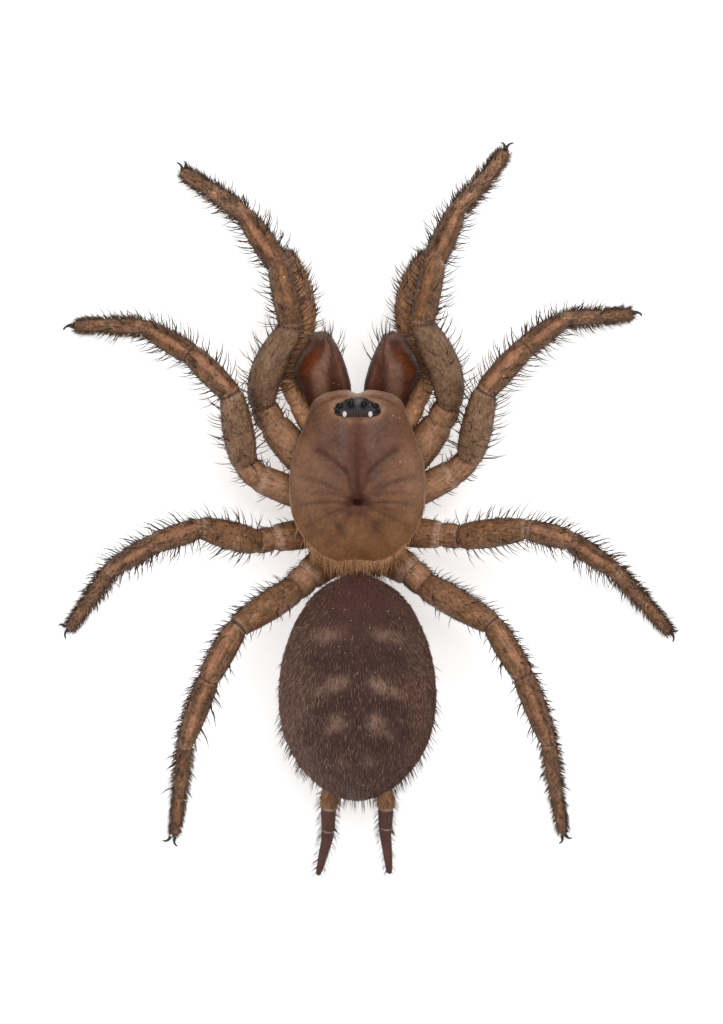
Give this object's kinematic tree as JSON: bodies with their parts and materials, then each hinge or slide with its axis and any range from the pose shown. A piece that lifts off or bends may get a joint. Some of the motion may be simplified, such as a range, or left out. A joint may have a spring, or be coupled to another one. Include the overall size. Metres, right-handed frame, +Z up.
{
  "type": "tunnelweb spider",
  "caption": "Still, life-size tunnelweb spider standing on its feet, with a long spinneret pair, forward jaws, an oval carapace and a dark velvety abdomen",
  "frame": {"origin": "on the floor, on the body's middle line, half way between the foremost and rearmost tips", "axes": "+Z is up, the spider faces -Y and its left side is +X"},
  "size_m": [0.0146, 0.0173, 0.0035],
  "materials": {
    "carapace_brown": "smooth shell with a soft sheen",
    "leg_brown": "smooth shell under fine hair",
    "jaw_red_brown": "glossy shell",
    "fang_black": "polished",
    "eye_black": "wet gloss",
    "eye_pearl": "wet gloss",
    "abdomen_brown": "velvety short hair",
    "sternum_tan": "satin shell",
    "spinneret_brown": "short hair"
  },
  "bodies": {
    "root": {"abdomen": "abdomen_brown", "carapace": "carapace_brown", "chelicera_left": "jaw_red_brown", "chelicera_right": "jaw_red_brown", "eye_left_anterior_lateral": "eye_black", "eye_left_anterior_median": "eye_black", "eye_left_posterior_lateral": "eye_black", "eye_left_posterior_median": "eye_pearl", "eye_right_anterior_lateral": "eye_black", "eye_right_anterior_median": "eye_black", "eye_right_posterior_lateral": "eye_black", "eye_right_posterior_median": "eye_pearl", "fang_left": "fang_black", "fang_right": "fang_black", "labium": "sternum_tan", "left_palp_coxa_trochanter": "leg_brown", "left_palp_femur_patella": "leg_brown", "left_palp_tibia_tarsus": "leg_brown", "leg_left_1_coxa_trochanter": "leg_brown", "leg_left_1_femur": "leg_brown", "leg_left_1_metatarsus_tarsus": "leg_brown", "leg_left_1_patella_tibia": "leg_brown", "leg_left_2_coxa_trochanter": "leg_brown", "leg_left_2_femur": "leg_brown", "leg_left_2_metatarsus_tarsus": "leg_brown", "leg_left_2_patella_tibia": "leg_brown", "leg_left_3_coxa_trochanter": "leg_brown", "leg_left_3_femur": "leg_brown", "leg_left_3_metatarsus_tarsus": "leg_brown", "leg_left_3_patella_tibia": "leg_brown", "leg_left_4_coxa_trochanter": "leg_brown", "leg_left_4_femur": "leg_brown", "leg_left_4_metatarsus_tarsus": "leg_brown", "leg_left_4_patella_tibia": "leg_brown", "leg_right_1_coxa_trochanter": "leg_brown", "leg_right_1_femur": "leg_brown", "leg_right_1_metatarsus_tarsus": "leg_brown", "leg_right_1_patella_tibia": "leg_brown", "leg_right_2_coxa_trochanter": "leg_brown", "leg_right_2_femur": "leg_brown", "leg_right_2_metatarsus_tarsus": "leg_brown", "leg_right_2_patella_tibia": "leg_brown", "leg_right_3_coxa_trochanter": "leg_brown", "leg_right_3_femur": "leg_brown", "leg_right_3_metatarsus_tarsus": "leg_brown", "leg_right_3_patella_tibia": "leg_brown", "leg_right_4_coxa_trochanter": "leg_brown", "leg_right_4_femur": "leg_brown", "leg_right_4_metatarsus_tarsus": "leg_brown", "leg_right_4_patella_tibia": "leg_brown", "pedicel": "carapace_brown", "right_palp_coxa_trochanter": "leg_brown", "right_palp_femur_patella": "leg_brown", "right_palp_tibia_tarsus": "leg_brown", "spinneret_long_left": "spinneret_brown", "spinneret_long_right": "spinneret_brown", "spinneret_short_left": "spinneret_brown", "spinneret_short_right": "spinneret_brown", "sternum": "sternum_tan"}
  },
  "joints": []
}
